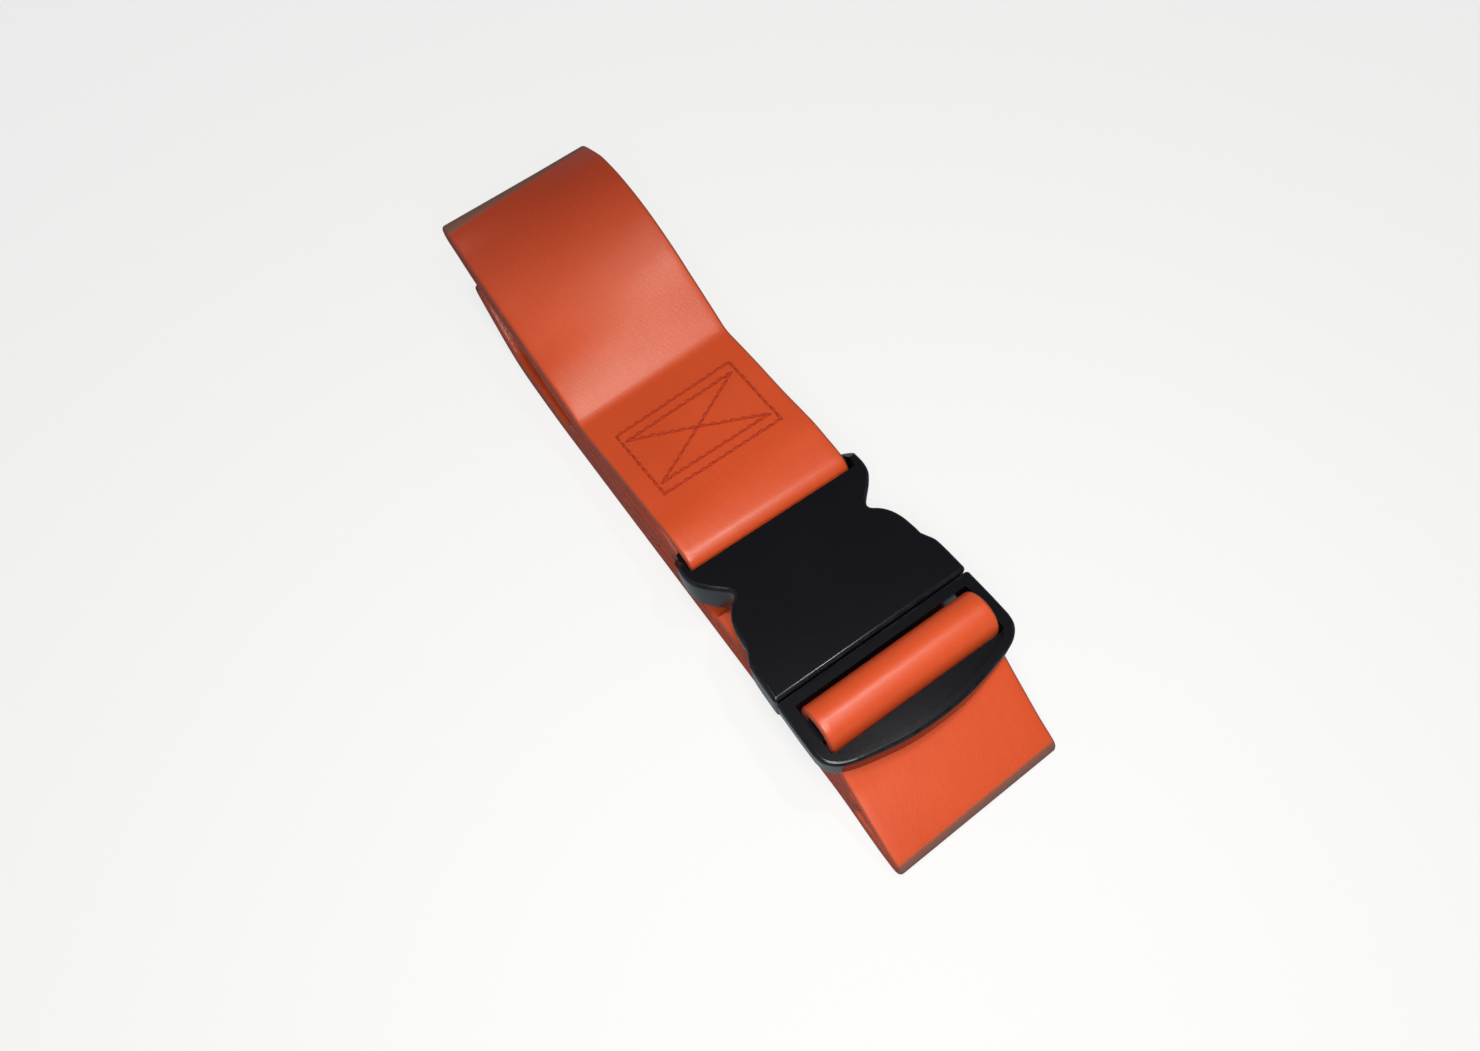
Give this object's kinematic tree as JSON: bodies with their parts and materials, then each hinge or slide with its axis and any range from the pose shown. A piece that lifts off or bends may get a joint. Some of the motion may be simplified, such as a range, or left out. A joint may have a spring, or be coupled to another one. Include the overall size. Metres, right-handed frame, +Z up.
{
  "type": "spine board restraint strap",
  "caption": "Folded coated-webbing restraint strap joined by a plastic side-release buckle with a ladder-lock adjuster.",
  "frame": {"origin": "on the face the bundle rests on, in the middle of the webbing's width, under the line where the sewn webbing rolls into the buckle housing", "axes": "+X along the strap towards the bottom fold, +Y across the webbing, +Z up from the resting face"},
  "size_m": [0.2183, 0.059, 0.042],
  "materials": {
    "webbing": "semi-gloss orange vinyl-coated webbing",
    "buckle_plastic": "black moulded acetal, satin",
    "thread": "orange bonded polyester thread"
  },
  "bodies": {
    "base": {"base_webbing": "webbing", "bottom_fold": "webbing", "base_loop_needle_thread": "thread", "base_loop_bobbin_thread": "thread"},
    "upper_run": {"adjuster_webbing": "webbing"},
    "plug": {"buckle_plug": "buckle_plastic"},
    "left_prong": {"plug_prong_left": "buckle_plastic"},
    "right_prong": {"plug_prong_right": "buckle_plastic"},
    "housing": {"buckle_housing": "buckle_plastic"},
    "fixed_strap": {"fixed_webbing": "webbing", "buckle_seam_needle_thread": "thread", "buckle_seam_bobbin_thread": "thread", "fixed_loop_needle_thread": "thread", "fixed_loop_bobbin_thread": "thread"}
  },
  "joints": [
    {"name": "bundle_open", "type": "hinge", "parent": "base", "child": "upper_run", "pos_m": [0.0825, 0, 0.00295], "axis": [0, 1, 0], "range_deg": [0, 120], "deforming": ["bottom_fold"]},
    {"name": "plug_tilt", "type": "hinge", "parent": "upper_run", "child": "plug", "pos_m": [0.0518, 0, 0.02455], "axis": [0, 1, 0], "range_deg": [0, 6]},
    {"name": "left_prong_flex", "type": "hinge", "parent": "plug", "child": "left_prong", "pos_m": [0.0415, -0.016, 0.02095], "axis": [0, 0, -1], "range_deg": [0, 12]},
    {"name": "right_prong_flex", "type": "hinge", "parent": "plug", "child": "right_prong", "pos_m": [0.0415, 0.016, 0.02095], "axis": [0, 0, 1], "range_deg": [0, 12]},
    {"name": "housing_pull", "type": "slide", "parent": "plug", "child": "housing", "axis": [-1, 0, 0], "range_m": [0, 0.036], "deforming": ["plug_prong_left", "plug_prong_right"]},
    {"name": "strap_swing", "type": "hinge", "parent": "housing", "child": "fixed_strap", "pos_m": [-0.0052, 0, 0.0218], "axis": [0, 1, 0], "range_deg": [0, 80]}
  ]
}
